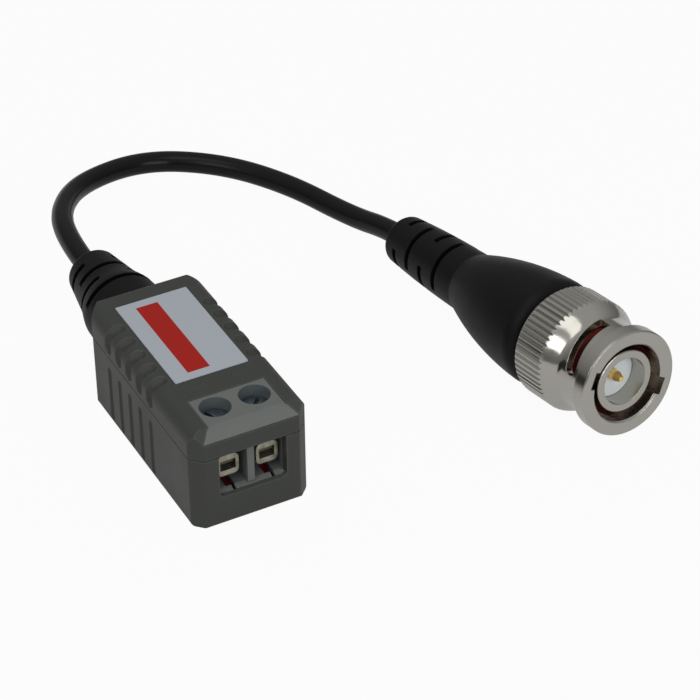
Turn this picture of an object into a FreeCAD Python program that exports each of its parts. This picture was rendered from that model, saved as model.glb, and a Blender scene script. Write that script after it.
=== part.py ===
import FreeCAD, Part
import math
import os

# Two-terminal passive video balun: a grey housing with screw terminals at its front (-Y), a strain
# relief at its back (+Y), and a coax pigtail that ends in a bayonet plug lying beside it at +X.
# All sizes are in millimetres. The origin is on the table, under the middle of housing and relief.

# Housing
HOUSING_W = 15.0
HOUSING_L = 30.4
HOUSING_H = 13.6
WALL = 1.2
PARTING_Z = 9.75
CORNER_CUT = 1.5
BACK_CORNER_CUT = 1.9
SHOULDER_R = 1.9
BASE_EDGE_R = 0.4
EDGE_SOFTEN = 0.45
BEVEL_DEPTH = 1.35
BEVEL_HEIGHT = 1.45
BACK_TOP_R = 0.6
LIP_H = 0.8
LIP_T = 0.5
LIP_GAP = 0.08
SEAM_DEPTH = 0.12
SEAM_H = 0.15

# Grip grooves in both long sides
GROOVE_COUNT = 5
GROOVE_PITCH = 2.95
GROOVE_FIRST = 11.85
GROOVE_R = 0.68
GROOVE_DEPTH = 0.28
GROOVE_FOOT_Z = 0.95
GROOVE_HEAD_Z = 7.75
SHOULDER_GROOVE_R = 1.05
SHOULDER_GROOVE_DEPTH = 0.5
SHOULDER_GROOVE_DROP = 0.5
SHOULDER_GROOVE_ANGLE = 80.0

# Strain relief of the housing, along its axis from the back wall
RELIEF_AXIS_Z = 6.15
RELIEF_L = 16.15
RELIEF_FOOT_R = 5.1
RELIEF_CONE_L = 6.15
RELIEF_CONE_R = 5.1
RELIEF_WAIST = 9.95
RELIEF_WAIST_R = 4.25
RELIEF_TIP_R = 3.4
RELIEF_BLEND = 1.2
RELIEF_NECK_R = 4.1
RELIEF_FLANGE_R = 4.9
RELIEF_FLANGE_T = 1.0
RELIEF_SLOT_FIRST = 6.5
RELIEF_SLOT_PITCH = 2.35
SLOT_COUNT = 4
SLOT_W = 0.85
SLOT_CORE = 0.4
TIP_ROUND = 0.85

# Cord and the coax tails at both of its ends
CORD_D = 2.9
CORD_LEAD = 7.0
CORD_PLUG_LEAD = 3.5
COAX_GAP = 0.03
COAX_STUB = 0.6
WIRE_R = 0.3
WIRE_REACH = 2.0
WIRE_BEND_R = 1.0
SHIELD_R = 0.4
SHIELD_OFFSET = 0.95

# Label and polarity marks on the top
LABEL_W = 9.4
LABEL_L = 17.2
LABEL_T = 0.12
LABEL_FRONT = 10.35
LABEL_CORNER_R = 0.15
MARK_L = 1.9
MARK_W = 0.4
MARK_RISE = 0.05
MARK_FRONT = 8.8
MARK_X = 2.75

# Screw terminals
POLE_PITCH = 5.0
WINDOW_SIDE = 1.8
WINDOW_SILL_Z = 4.4
WINDOW_CORNER_R = 0.7
SILL_DROP = 0.47
SILL_DEPTH = 1.2
SILL_EDGE = 0.5
DIVIDER_W = 0.9
DIVIDER_FRONT = 0.65
NOTCH_W = 1.15
NOTCH_FRONT = 1.2
NOTCH_BACK = 3.75
SLIT_W = 0.4
SLIT_OFFSET = 0.3
BLOCK_SIDE = 0.75
BLOCK_D = 9.05
BLOCK_GAP = 0.04
PLATFORM_INSET = 0.2
PLATFORM_D = 6.7
PLATFORM_SINK = 0.05
NOSE_FOOT_W = 12.3
CAVITY_D = 7.0
CAVITY_TOP_Z = 9.6
GUIDE_START = 3.4
GUIDE_L = 2.6
GUIDE_GAP = 0.1
WELL_R = 1.9
WELL_FLOOR_Z = 10.8
SCREW_DEPTH = 4.4
SCREW_HEAD_R = 1.74
SCREW_HEAD_H = 1.05
SCREW_SLOT_W = 0.45
SCREW_SLOT_DEPTH = 0.55
SCREW_SHANK_R = 1.0
SCREW_TIP_GAP = 0.1
SCREW_GAP = 0.05
CAGE_W = 2.8
CAGE_L = 5.2
CAGE_FRONT = 1.55
CAGE_SIDE_T = 0.42
CAGE_STRIP_T = 0.75
CAGE_BASE_Z = 5.6
CAGE_TOP_Z = 8.5
CAGE_CORNER_R = 0.7
BAR_W = 1.7
BAR_T = 0.5
BAR_TOP_Z = 7.55
BAR_FRONT = 1.95
BAR_BACK = 8.3
BAR_LEG_T = 0.6
BAR_PIN_OUT = 0.5
BAR_GAP = 0.05

# Circuit board and transformer
BOARD_W = 10.8
BOARD_L = 24.9
BOARD_T = 1.0
BOARD_TOP_Z = 3.65
BOARD_FRONT = 1.8
POST_R = 0.9
POST_INSET = 1.3
CORE_R = 3.3
CORE_HOLE_R = 1.4
CORE_H = 2.6
CORE_LIFT = 0.5
CORE_FROM_FRONT = 16.35
TURN_COUNT = 7
TURN_T = 0.32
TURN_GROOVE = 0.14
TURN_GAP = 0.04
WINDING_ARC = 130.0
LEAD_R = 0.2

# Bayonet coupling nut, along the plug's axis from the nut's front face
NUT_R = 7.25
NUT_L = 13.0
NUT_BORE_R = 4.95
NUT_RING_L = 2.0
NUT_RING_R = 6.79
NUT_RING_CHAMFER = 0.15
NUT_BORE_CHAMFER = 0.2
NUT_NECK_WALL = 1.0
NUT_NECK_END = 5.55
NUT_FLARE_END = 8.25
NUT_FLARE_LEAD = 1.0
NUT_FLARE_RUN = 1.3
NUT_FLARE_DROP = 0.5
NUT_BACK_CHAMFER = 0.25
KNURL_COUNT = 60
KNURL_W = 0.4
NUT_BACK_WALL = 1.0
NUT_POCKET_START = 9.85
NUT_TRAVEL = 0.6
LUG_CHANNEL_DEPTH = 0.65
LUG_CHANNEL_W = 2.2
LUG_SLOT_W = 1.8
LUG_SLOT_START = 3.95
LUG_SLOT_RISE = 1.1
LUG_SLOT_SWEEP = 73.0
LUG_ANGLE = 24.5

# Plug body, contacts, gasket and the rings that carry the nut
SLEEVE_R = 4.05
SLEEVE_BORE_R = 3.05
SLEEVE_FRONT = 0.7
SLEEVE_ROUND = 0.2
FLANGE_SIDE_GAP = 0.35
FLANGE_START = 9.95
FLANGE_T = 0.7
BODY_R = 4.4
BODY_END = 22.25
BODY_WALL = 1.0
CONDUCTOR_R = 0.5
INSULATOR_FRONT = 3.15
PIN_R = 0.67
PIN_TIP = 1.3
PIN_TAPER = 0.9
PIN_TIP_R = 0.3
PIN_BACK_INSET = 1.0
GASKET_T = 4.2
GASKET_R = 4.78
WAVE_T = 0.2
WAVE_SIDE_GAP = 0.55
WAVE_COUNT = 3
POINTS_PER_WAVE = 8
WASHER_T = 0.4
WASHER_SIDE_GAP = 0.15
SNAP_T = 0.45
SNAP_GRIP = 0.25
SNAP_W = 1.2
SNAP_MOUTH = 30.0
RING_GAP = 0.05

# Plug boot and the crimp ferrule in it
BOOT_FRONT = 13.9
BOOT_FRONT_R = 6.1
BOOT_SHOULDER = 15.75
BOOT_R = 7.03
BOOT_CONE_MID = 23.85
BOOT_CONE_MID_R = 6.1
BOOT_KNEE = 31.15
BOOT_KNEE_R = 4.02
BOOT_TAIL_MID = 38.75
BOOT_TAIL_MID_R = 3.82
BOOT_END = 46.95
BOOT_TIP_R = 3.33
BOOT_NOSE_PULL = 1.3
BOOT_GAP = 0.05
BOOT_SLOT_FIRST = 34.85
BOOT_SLOT_PITCH = 3.12
BOOT_SLOT_ANGLE = 45.0
FERRULE_R = 2.6
FERRULE_L = 5.0

# Where the plug lies: the middle of the nut's front face, and how far its axis turns and rises
PLUG_X = 44.835
PLUG_Y = -32.682
PLUG_YAW = 5.74
PLUG_RISE = 6.31
TABLE_GAP = 0.01

# Corner points of the cord between its straight leads at the relief and at the boot
CORD_POINTS = [
    (2.4, 39.5, 5.2),
    (8.0, 47.9, 3.4),
    (19.2, 50.2, 1.9),
    (28.4, 45.2, 1.5),
    (34.4, 36.0, 1.5),
    (38.2, 24.6, 1.5),
]

# Share of the shorter run beside a corner that the cord's bend there takes
BEND_SHARE = 0.45

# Sizes and places that follow from the others
FRONT_Y = -(HOUSING_L + RELIEF_L) / 2
BACK_Y = FRONT_Y + HOUSING_L
RELIEF_TIP_Y = BACK_Y + RELIEF_L
HALF_W = HOUSING_W / 2
CORD_R = CORD_D / 2
POLES = {"left": -POLE_PITCH / 2, "right": POLE_PITCH / 2}
HEAD_TURNS = {"left": 25.0, "right": -40.0}
BOARD_BASE_Z = BOARD_TOP_Z - BOARD_T
BEVEL_FOOT_Z = HOUSING_H - BEVEL_HEIGHT
WINDOW_HALF = POLE_PITCH / 2 + WINDOW_SIDE
BLOCK_HALF = WINDOW_HALF + BLOCK_SIDE
PLATFORM_HALF = BLOCK_HALF - PLATFORM_INSET
SCREW_Y = FRONT_Y + SCREW_DEPTH
COAX_R = CORD_R + COAX_GAP
COAX_END_Y = BACK_Y - WALL - BLOCK_GAP - RELIEF_FLANGE_T - COAX_STUB
NUT_NECK_R = NUT_BORE_R + NUT_NECK_WALL
NUT_POCKET_R = NUT_R - NUT_BACK_WALL
FLANGE_END = FLANGE_START + FLANGE_T
WAVE_H = WAVE_T + NUT_TRAVEL + RING_GAP
WASHER_START = FLANGE_END + WAVE_H + RING_GAP
SNAP_START = WASHER_START + WASHER_T + RING_GAP
PAST = 1.0
UP = FreeCAD.Vector(0, 0, 1)
BACKWARD = FreeCAD.Vector(0, 1, 0)
OUTWARD = FreeCAD.Vector(1, 0, 0)


# Building helpers

def box(x0, x1, y0, y1, z0, z1):
    return Part.makeBox(x1 - x0, y1 - y0, z1 - z0, FreeCAD.Vector(x0, y0, z0))


def rod(radius, x, y, z, length, direction=UP):
    return Part.makeCylinder(radius, length, FreeCAD.Vector(x, y, z), direction)


def pipe(outer, inner, start, length):
    """A tube along the local Z axis."""
    return rod(outer, 0, 0, start, length).cut(rod(inner, 0, 0, start - PAST, length + 2 * PAST))


def rounded_face(corners, place):
    """A closed face from corners (u, v, radius); place turns u and v into a point in space."""
    edges = []
    stretches = []
    count = len(corners)
    for index, (u, v, radius) in enumerate(corners):
        corner = FreeCAD.Vector(u, v, 0)
        before = (FreeCAD.Vector(*corners[index - 1][:2], 0) - corner).normalize()
        after = (FreeCAD.Vector(*corners[(index + 1) % count][:2], 0) - corner).normalize()
        half = before.getAngle(after) / 2
        reach = radius / math.tan(half)
        inside = (before + after).normalize() * (radius / math.sin(half) - radius)
        stretches.append((corner + before * reach, corner + inside, corner + after * reach, radius))
    for index, (start, middle, end, radius) in enumerate(stretches):
        if radius > 0:
            edges.append(Part.Arc(*[place(p.x, p.y) for p in (start, middle, end)]).toShape())
        following = stretches[(index + 1) % count][0]
        edges.append(Part.LineSegment(place(end.x, end.y), place(following.x, following.y)).toShape())
    return Part.Face(Part.Wire(edges))


def turned(edges):
    """A solid of revolution about the local Z axis from a closed outline in the XZ plane."""
    face = Part.Face(Part.Wire(Part.__sortEdges__(edges)))
    return face.revolve(FreeCAD.Vector(0, 0, 0), UP, 360)


def lines(points):
    """Straight edges through (radius, height) points in the XZ plane."""
    corners = [FreeCAD.Vector(r, 0, s) for r, s in points]
    return [Part.LineSegment(a, b).toShape() for a, b in zip(corners, corners[1:])]


def arc(start, middle, end):
    points = [FreeCAD.Vector(r, 0, s) for r, s in (start, middle, end)]
    return Part.Arc(*points).toShape()


def save(name, shape):
    solids = shape.Solids
    if len(solids) != 1 or not solids[0].isValid():
        raise ValueError(name + " is not one valid solid")
    solids[0].exportStep("parts/" + name + ".step")


# Housing shells

def housing_block(inset):
    """The housing's outer form, or the same form with every face moved inwards by inset."""
    half = HALF_W - inset
    front = FRONT_Y + inset
    back = BACK_Y - inset
    top = HOUSING_H - inset
    shrink = inset * (2 - math.sqrt(2))
    cut = CORNER_CUT - shrink
    back_cut = BACK_CORNER_CUT - shrink
    soft = max(EDGE_SOFTEN - inset, 0)
    edge = max(BASE_EDGE_R - inset, 0)
    plan = rounded_face([
        (-half, front + cut, soft),
        (-half + cut, front, soft),
        (half - cut, front, soft),
        (half, front + cut, soft),
        (half, back - back_cut, soft),
        (half - back_cut, back, soft),
        (-half + back_cut, back, soft),
        (-half, back - back_cut, soft),
    ], lambda x, y: FreeCAD.Vector(x, y, 0))
    across = rounded_face([
        (-half, inset, edge),
        (half, inset, edge),
        (half, top, SHOULDER_R - inset),
        (-half, top, SHOULDER_R - inset),
    ], lambda x, z: FreeCAD.Vector(x, front, z))
    along = rounded_face([
        (front, inset, edge),
        (back, inset, edge),
        (back, top, max(BACK_TOP_R - inset, 0)),
        (front + BEVEL_DEPTH - shrink, top, soft / 2),
        (front, top - BEVEL_HEIGHT + shrink, soft / 2),
    ], lambda y, z: FreeCAD.Vector(-half, y, z))
    body = plan.extrude(UP * HOUSING_H)
    body = body.common(across.extrude(BACKWARD * (back - front)))
    return body.common(along.extrude(OUTWARD * 2 * half))


def slab(z0, z1):
    return box(-HOUSING_W, HOUSING_W, FRONT_Y - PAST, BACK_Y + PAST, z0, z1)


def lip(gap):
    """The ring that stands on the lower shell's wall, without the stretch over the windows."""
    ring = housing_block(WALL - LIP_T - gap).cut(housing_block(WALL))
    ring = ring.common(slab(PARTING_Z, PARTING_Z + LIP_H + gap))
    half = WINDOW_HALF + WALL - gap
    return ring.cut(box(-half, half, FRONT_Y, FRONT_Y + 2 * WALL, PARTING_Z - PAST, HOUSING_H))


def seam():
    """The fine reveal along the foot of the upper shell, where the shells meet."""
    return housing_block(0).cut(housing_block(SEAM_DEPTH)).common(slab(PARTING_Z, PARTING_Z + SEAM_H))


def groove_places():
    for index in range(GROOVE_COUNT):
        for side in (-1, 1):
            yield FRONT_Y + GROOVE_FIRST + index * GROOVE_PITCH, side


def side_grooves():
    cuts = []
    for y, side in groove_places():
        x = side * (HALF_W + GROOVE_R - GROOVE_DEPTH)
        groove = rod(GROOVE_R, x, y, GROOVE_FOOT_Z, GROOVE_HEAD_Z - GROOVE_FOOT_Z)
        ends = [Part.makeSphere(GROOVE_R, FreeCAD.Vector(x, y, z)) for z in (GROOVE_FOOT_Z, GROOVE_HEAD_Z)]
        cuts.append(groove.multiFuse(ends))
    return cuts


def shoulder_grooves():
    cuts = []
    bend = SHOULDER_R + SHOULDER_GROOVE_R - SHOULDER_GROOVE_DEPTH
    middle_x = HALF_W - SHOULDER_R
    middle_z = HOUSING_H - SHOULDER_R
    for y, side in groove_places():
        centre = FreeCAD.Vector(side * middle_x, y, middle_z)
        start = centre + OUTWARD * side * bend
        section = Part.Face(Part.Wire(Part.makeCircle(SHOULDER_GROOVE_R, start, UP)))
        arch = section.revolve(centre, BACKWARD * -side, SHOULDER_GROOVE_ANGLE)
        turn = math.radians(SHOULDER_GROOVE_ANGLE)
        end = centre + FreeCAD.Vector(side * bend * math.cos(turn), 0, bend * math.sin(turn))
        foot = start - UP * SHOULDER_GROOVE_DROP
        drop = rod(SHOULDER_GROOVE_R, foot.x, foot.y, foot.z, SHOULDER_GROOVE_DROP)
        ends = [Part.makeSphere(SHOULDER_GROOVE_R, point) for point in (foot, end)]
        cuts.append(arch.multiFuse([drop] + ends))
    return cuts


def relief_hole():
    length = WALL + 2 * PAST
    return rod(RELIEF_NECK_R + BLOCK_GAP, 0, BACK_Y - WALL - PAST, RELIEF_AXIS_Z, length, BACKWARD)


def sill_cut():
    """What the sloping sill of both wire windows takes away, with rounded lower corners."""
    mouth = rounded_face([
        (-WINDOW_HALF, WINDOW_SILL_Z - SILL_DROP, WINDOW_CORNER_R),
        (WINDOW_HALF, WINDOW_SILL_Z - SILL_DROP, WINDOW_CORNER_R),
        (WINDOW_HALF, HOUSING_H, 0),
        (-WINDOW_HALF, HOUSING_H, 0),
    ], lambda x, z: FreeCAD.Vector(x, FRONT_Y, z))
    return mouth.extrude(FreeCAD.Vector(0, SILL_DEPTH, SILL_DROP))


def sill_seat(gap):
    """The room behind the sill's front edge for the block's tongue, or the tongue with its gap."""
    half = WINDOW_HALF - gap
    start = FRONT_Y + SILL_EDGE + gap
    return box(-half, half, start, FRONT_Y + 2 * WALL, BOARD_TOP_Z + gap, WINDOW_SILL_Z)


def window_cut():
    """The opening of both wire windows in the front wall."""
    half = WINDOW_HALF
    through = box(-half, half, FRONT_Y - PAST, FRONT_Y + 2 * WALL, WINDOW_SILL_Z, HOUSING_H)
    return [sill_cut(), sill_seat(0), through]


def board_post_places():
    x = BOARD_W / 2 - POST_INSET
    front = FRONT_Y + BOARD_FRONT + POST_INSET
    back = FRONT_Y + BOARD_FRONT + BOARD_L - POST_INSET
    return [(side * x, y) for side in (-1, 1) for y in (front, back)]


def lower_shell():
    shell = housing_block(0).cut(housing_block(WALL)).common(slab(-PAST, PARTING_Z))
    posts = [rod(POST_R, x, y, WALL / 2, BOARD_BASE_Z - WALL / 2) for x, y in board_post_places()]
    shell = shell.multiFuse([lip(0)] + posts)
    shell = shell.cut(window_cut() + side_grooves() + [relief_hole()])
    return shell.removeSplitter()


def nose(gap):
    """The terminal block's sloping front band, or the cut-out for it with a gap all round."""
    foot = NOSE_FOOT_W / 2 + gap
    head = PLATFORM_HALF + gap
    outline = [
        FreeCAD.Vector(-foot, FRONT_Y - PAST, BEVEL_FOOT_Z - gap),
        FreeCAD.Vector(foot, FRONT_Y - PAST, BEVEL_FOOT_Z - gap),
        FreeCAD.Vector(head, FRONT_Y - PAST, HOUSING_H),
        FreeCAD.Vector(-head, FRONT_Y - PAST, HOUSING_H),
    ]
    return Part.Face(Part.makePolygon(outline + outline[:1])).extrude(BACKWARD * (PAST + WALL + BLOCK_GAP))


def platform(gap):
    """The part of the terminal block that fills the opening in the upper shell's top."""
    half = PLATFORM_HALF + gap
    start = FRONT_Y + WALL
    end = FRONT_Y + PLATFORM_D + gap
    return box(-half, half, start, end, HOUSING_H - WALL - 2 * BLOCK_GAP, HOUSING_H)


def block_room():
    """The room that the terminal block's body takes under the upper shell's top."""
    half = BLOCK_HALF + BLOCK_GAP
    end = FRONT_Y + BLOCK_D + BLOCK_GAP
    return box(-half, half, FRONT_Y + WALL, end, PARTING_Z - PAST, HOUSING_H - WALL)


def polarity_marks():
    y = FRONT_Y + MARK_FRONT
    top = HOUSING_H + MARK_RISE
    foot = HOUSING_H - WALL / 2
    long = MARK_L / 2
    thin = MARK_W / 2
    bars = [box(x - long, x + long, y - thin, y + thin, foot, top) for x in (-MARK_X, MARK_X)]
    return bars + [box(-MARK_X - thin, -MARK_X + thin, y - long, y + long, foot, top)]


def upper_shell():
    shell = housing_block(0).cut(housing_block(WALL)).common(slab(PARTING_Z, HOUSING_H + PAST))
    shell = shell.multiFuse(polarity_marks())
    openings = [seam(), lip(LIP_GAP), block_room(), nose(BLOCK_GAP), platform(BLOCK_GAP), relief_hole()]
    shell = shell.cut(openings + shoulder_grooves())
    return shell.removeSplitter()


def label():
    half = LABEL_W / 2
    start = FRONT_Y + LABEL_FRONT
    face = rounded_face([
        (-half, start, LABEL_CORNER_R),
        (half, start, LABEL_CORNER_R),
        (half, start + LABEL_L, LABEL_CORNER_R),
        (-half, start + LABEL_L, LABEL_CORNER_R),
    ], lambda x, y: FreeCAD.Vector(x, y, HOUSING_H))
    return face.extrude(UP * LABEL_T)


# Terminal block with its screws, cages and contact bars

def contact_bar(x, gap=0.0):
    """The bar over which a cage closes, with its leg down through the board; gap widens it."""
    half = BAR_W / 2 + gap
    back = FRONT_Y + BAR_BACK + gap
    bottom = BOARD_BASE_Z - BAR_PIN_OUT
    front = FRONT_Y + BAR_FRONT
    bar = box(x - half, x + half, front, back, BAR_TOP_Z - BAR_T - gap, BAR_TOP_Z + gap)
    leg = box(x - half, x + half, back - BAR_LEG_T - 2 * gap, back, bottom, BAR_TOP_Z + gap)
    return bar.fuse(leg).removeSplitter()


def pole_cavity(x):
    """The room behind one window in which the cage rises and sinks between its guides."""
    inner = DIVIDER_W / 2
    start, end = sorted((math.copysign(inner, x), math.copysign(WINDOW_HALF, x)))
    room = box(start, end, FRONT_Y, FRONT_Y + CAVITY_D, WINDOW_SILL_Z, CAVITY_TOP_Z)
    guide_start = FRONT_Y + GUIDE_START
    slot = CAGE_W / 2 + GUIDE_GAP
    guides = [
        box(start, x - slot, guide_start, guide_start + GUIDE_L, WINDOW_SILL_Z, CAVITY_TOP_Z),
        box(x + slot, end, guide_start, guide_start + GUIDE_L, WINDOW_SILL_Z, CAVITY_TOP_Z),
    ]
    return room.cut(guides)


def floor_notch(x):
    """The notch in the block's floor, open down to the board, and the slit from it to the front."""
    half = NOTCH_W / 2
    notch_start = FRONT_Y + NOTCH_FRONT
    notch = box(x - half, x + half, notch_start, FRONT_Y + NOTCH_BACK, BOARD_TOP_Z, WINDOW_SILL_Z + PAST)
    start = x + SLIT_OFFSET - SLIT_W / 2
    slit = box(start, start + SLIT_W, FRONT_Y, notch_start + PAST / 2, BOARD_TOP_Z, WINDOW_SILL_Z + PAST)
    return notch.fuse(slit)


def terminal_block():
    half = BLOCK_HALF
    front = FRONT_Y + WALL + BLOCK_GAP
    back = FRONT_Y + BLOCK_D
    main = box(-half, half, front, back, BOARD_TOP_Z + BLOCK_GAP, HOUSING_H - WALL - BLOCK_GAP)
    divider = box(-DIVIDER_W / 2, DIVIDER_W / 2, FRONT_Y + DIVIDER_FRONT, front + WALL,
                  WINDOW_SILL_Z, PARTING_Z - BLOCK_GAP)
    tongue = sill_seat(BLOCK_GAP).cut(sill_cut())
    top = nose(0).fuse(platform(0)).common(housing_block(PLATFORM_SINK))
    block = main.multiFuse([divider, tongue, top])
    cuts = []
    for x in POLES.values():
        cuts.append(pole_cavity(x))
        cuts.append(floor_notch(x))
        cuts.append(contact_bar(x, BAR_GAP))
        cuts.append(rod(WELL_R, x, SCREW_Y, WELL_FLOOR_Z, HOUSING_H))
        cuts.append(rod(SCREW_SHANK_R + SCREW_GAP, x, SCREW_Y, CAVITY_TOP_Z - PAST, HOUSING_H))
    return block.cut(cuts).removeSplitter()


def terminal_screw(x, head_turn):
    """A slotted screw whose head turns in its well and whose shank lifts the cage."""
    head_z = WELL_FLOOR_Z + SCREW_GAP
    top = head_z + SCREW_HEAD_H
    tip = BAR_TOP_Z + SCREW_TIP_GAP
    head = rod(SCREW_HEAD_R, x, SCREW_Y, head_z, SCREW_HEAD_H)
    shank = rod(SCREW_SHANK_R, x, SCREW_Y, tip, top - tip)
    half = SCREW_SLOT_W / 2
    reach = 2 * SCREW_HEAD_R
    slot = box(x - half, x + half, SCREW_Y - reach, SCREW_Y + reach, top - SCREW_SLOT_DEPTH, top + PAST)
    slot.rotate(FreeCAD.Vector(x, SCREW_Y, 0), UP, head_turn)
    return head.fuse(shank).cut(slot).removeSplitter()


def clamp_cage(x):
    """The strip loop round the contact bar, drawn up by the screw through its top."""
    half = CAGE_W / 2
    front = FRONT_Y + CAGE_FRONT
    outer = rounded_face([
        (x - half, CAGE_BASE_Z, CAGE_CORNER_R),
        (x + half, CAGE_BASE_Z, CAGE_CORNER_R),
        (x + half, CAGE_TOP_Z, CAGE_CORNER_R),
        (x - half, CAGE_TOP_Z, CAGE_CORNER_R),
    ], lambda u, z: FreeCAD.Vector(u, front, z)).extrude(BACKWARD * CAGE_L)
    inside = half - CAGE_SIDE_T
    opening = box(x - inside, x + inside, front - PAST, front + CAGE_L + PAST,
                  CAGE_BASE_Z + CAGE_STRIP_T, CAGE_TOP_Z - CAGE_STRIP_T)
    thread = rod(SCREW_SHANK_R + SCREW_GAP, x, SCREW_Y, BAR_TOP_Z, HOUSING_H)
    return outer.cut([opening, thread])


# Circuit board and transformer

def circuit_board():
    half = BOARD_W / 2
    front = FRONT_Y + BOARD_FRONT
    board = box(-half, half, front, front + BOARD_L, BOARD_BASE_Z, BOARD_TOP_Z)
    return board.cut([contact_bar(x, BAR_GAP) for x in POLES.values()])


def ring_core(grow):
    """The ferrite ring lying on the board; grow widens its section on every side."""
    base = BOARD_TOP_Z + CORE_LIFT - grow
    ring = pipe(CORE_R + grow, CORE_HOLE_R - grow, base, CORE_H + 2 * grow)
    ring.translate(BACKWARD * (FRONT_Y + CORE_FROM_FRONT))
    return ring


def winding(side):
    """One winding, as its turns side by side round one half of the ring, with two leads."""
    y = FRONT_Y + CORE_FROM_FRONT
    middle = FreeCAD.Vector(0, y, 0)
    start = (0 if side > 0 else 180) - WINDING_ARC / 2
    sector = Part.makeCylinder(2 * CORE_R, HOUSING_H, middle, UP, WINDING_ARC)
    sector.rotate(middle, UP, start)
    coil = ring_core(TURN_T).common(sector).cut(ring_core(TURN_GAP))
    skin = ring_core(TURN_T + PAST / 2).cut(ring_core(TURN_T - TURN_GROOVE))
    step = WINDING_ARC / TURN_COUNT
    grooves = []
    for index in range(1, TURN_COUNT):
        groove = box(0, 2 * CORE_R, y - TURN_GROOVE / 2, y + TURN_GROOVE / 2, 0, HOUSING_H).common(skin)
        groove.rotate(middle, UP, start + index * step)
        grooves.append(groove)
    coil = coil.cut(grooves)
    leads = []
    reach = CORE_R - LEAD_R
    for turn in (0.5, TURN_COUNT - 0.5):
        angle = math.radians(start + turn * step)
        x = reach * math.cos(angle)
        leads.append(rod(LEAD_R, x, y + reach * math.sin(angle), BOARD_TOP_Z, CORE_LIFT - TURN_GAP))
    return coil.multiFuse(leads).removeSplitter()


# Coax ends inside the housing

def bent_wire(radius, start_z, x):
    """A wire that leaves the coax's cut end forwards and turns down onto the board."""
    start = FreeCAD.Vector(x, COAX_END_Y, start_z)
    bend = start - BACKWARD * WIRE_REACH
    centre = bend - UP * WIRE_BEND_R
    corner = centre - BACKWARD * WIRE_BEND_R
    slant = math.sqrt(0.5) * WIRE_BEND_R
    middle = centre + FreeCAD.Vector(0, -slant, slant)
    foot = FreeCAD.Vector(corner.x, corner.y, BOARD_TOP_Z)
    path = Part.Wire([
        Part.LineSegment(start, bend).toShape(),
        Part.Arc(bend, middle, corner).toShape(),
        Part.LineSegment(corner, foot).toShape(),
    ])
    section = Part.Wire(Part.makeCircle(radius, start, BACKWARD))
    return path.makePipeShell([section], True, False)


def coax_tail():
    length = RELIEF_TIP_Y - COAX_END_Y
    return rod(CORD_R, 0, COAX_END_Y, RELIEF_AXIS_Z, length, BACKWARD)


# Strain reliefs

def cut_slots(body, first, pitch, opening):
    """Cuts pairs of cross slots down to the cable, each pair a quarter turn from the last."""
    inner = CORD_R + SLOT_CORE
    cuts = []
    for index in range(SLOT_COUNT):
        start = first + index * pitch - SLOT_W / 2
        for side in (0, 180):
            slot = box(inner, 2 * BOOT_R, -BOOT_R, BOOT_R, start, start + SLOT_W)
            slot.rotate(FreeCAD.Vector(0, 0, 0), UP, opening + 90 * index + side)
            cuts.append(slot)
    return body.cut(cuts)


def tip_round(radius, end):
    """The rounded rim where a relief ends, from its face to its side."""
    slant = math.sqrt(0.5) * TIP_ROUND
    return arc(
        (radius - TIP_ROUND, end),
        (radius - TIP_ROUND + slant, end - TIP_ROUND + slant),
        (radius, end - TIP_ROUND),
    )


def bezier(*points):
    curve = Part.BezierCurve()
    curve.setPoles([FreeCAD.Vector(r, 0, s) for r, s in points])
    return curve.toShape()


def housing_relief():
    """The segmented relief, keyed into the back wall by a neck and a flange inside."""
    inside = -WALL - BLOCK_GAP
    flange = inside - RELIEF_FLANGE_T
    cone_slope = (RELIEF_CONE_R - RELIEF_FOOT_R) / RELIEF_CONE_L
    tail_slope = (RELIEF_TIP_R - RELIEF_WAIST_R) / (RELIEF_L - TIP_ROUND - RELIEF_WAIST)
    edges = lines([
        (RELIEF_TIP_R - TIP_ROUND, RELIEF_L),
        (COAX_R, RELIEF_L),
        (COAX_R, flange),
        (RELIEF_FLANGE_R, flange),
        (RELIEF_FLANGE_R, inside),
        (RELIEF_NECK_R, inside),
        (RELIEF_NECK_R, 0),
        (RELIEF_FOOT_R, 0),
        (RELIEF_CONE_R, RELIEF_CONE_L),
    ])
    edges.append(bezier(
        (RELIEF_CONE_R, RELIEF_CONE_L),
        (RELIEF_CONE_R + cone_slope * RELIEF_BLEND, RELIEF_CONE_L + RELIEF_BLEND),
        (RELIEF_WAIST_R - tail_slope * RELIEF_BLEND, RELIEF_WAIST - RELIEF_BLEND),
        (RELIEF_WAIST_R, RELIEF_WAIST),
    ))
    edges += lines([(RELIEF_WAIST_R, RELIEF_WAIST), (RELIEF_TIP_R, RELIEF_L - TIP_ROUND)])
    edges.append(tip_round(RELIEF_TIP_R, RELIEF_L))
    relief = cut_slots(turned(edges), RELIEF_SLOT_FIRST, RELIEF_SLOT_PITCH, 90)
    relief.rotate(FreeCAD.Vector(0, 0, 0), OUTWARD, -90)
    relief.translate(FreeCAD.Vector(0, BACK_Y, RELIEF_AXIS_Z))
    return relief


def boot_cone():
    """The arc of the boot's belly, on which the plug rests."""
    points = ((BOOT_R, BOOT_SHOULDER), (BOOT_CONE_MID_R, BOOT_CONE_MID), (BOOT_KNEE_R, BOOT_KNEE))
    return Part.Arc(*[FreeCAD.Vector(r, 0, s) for r, s in points])


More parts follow.
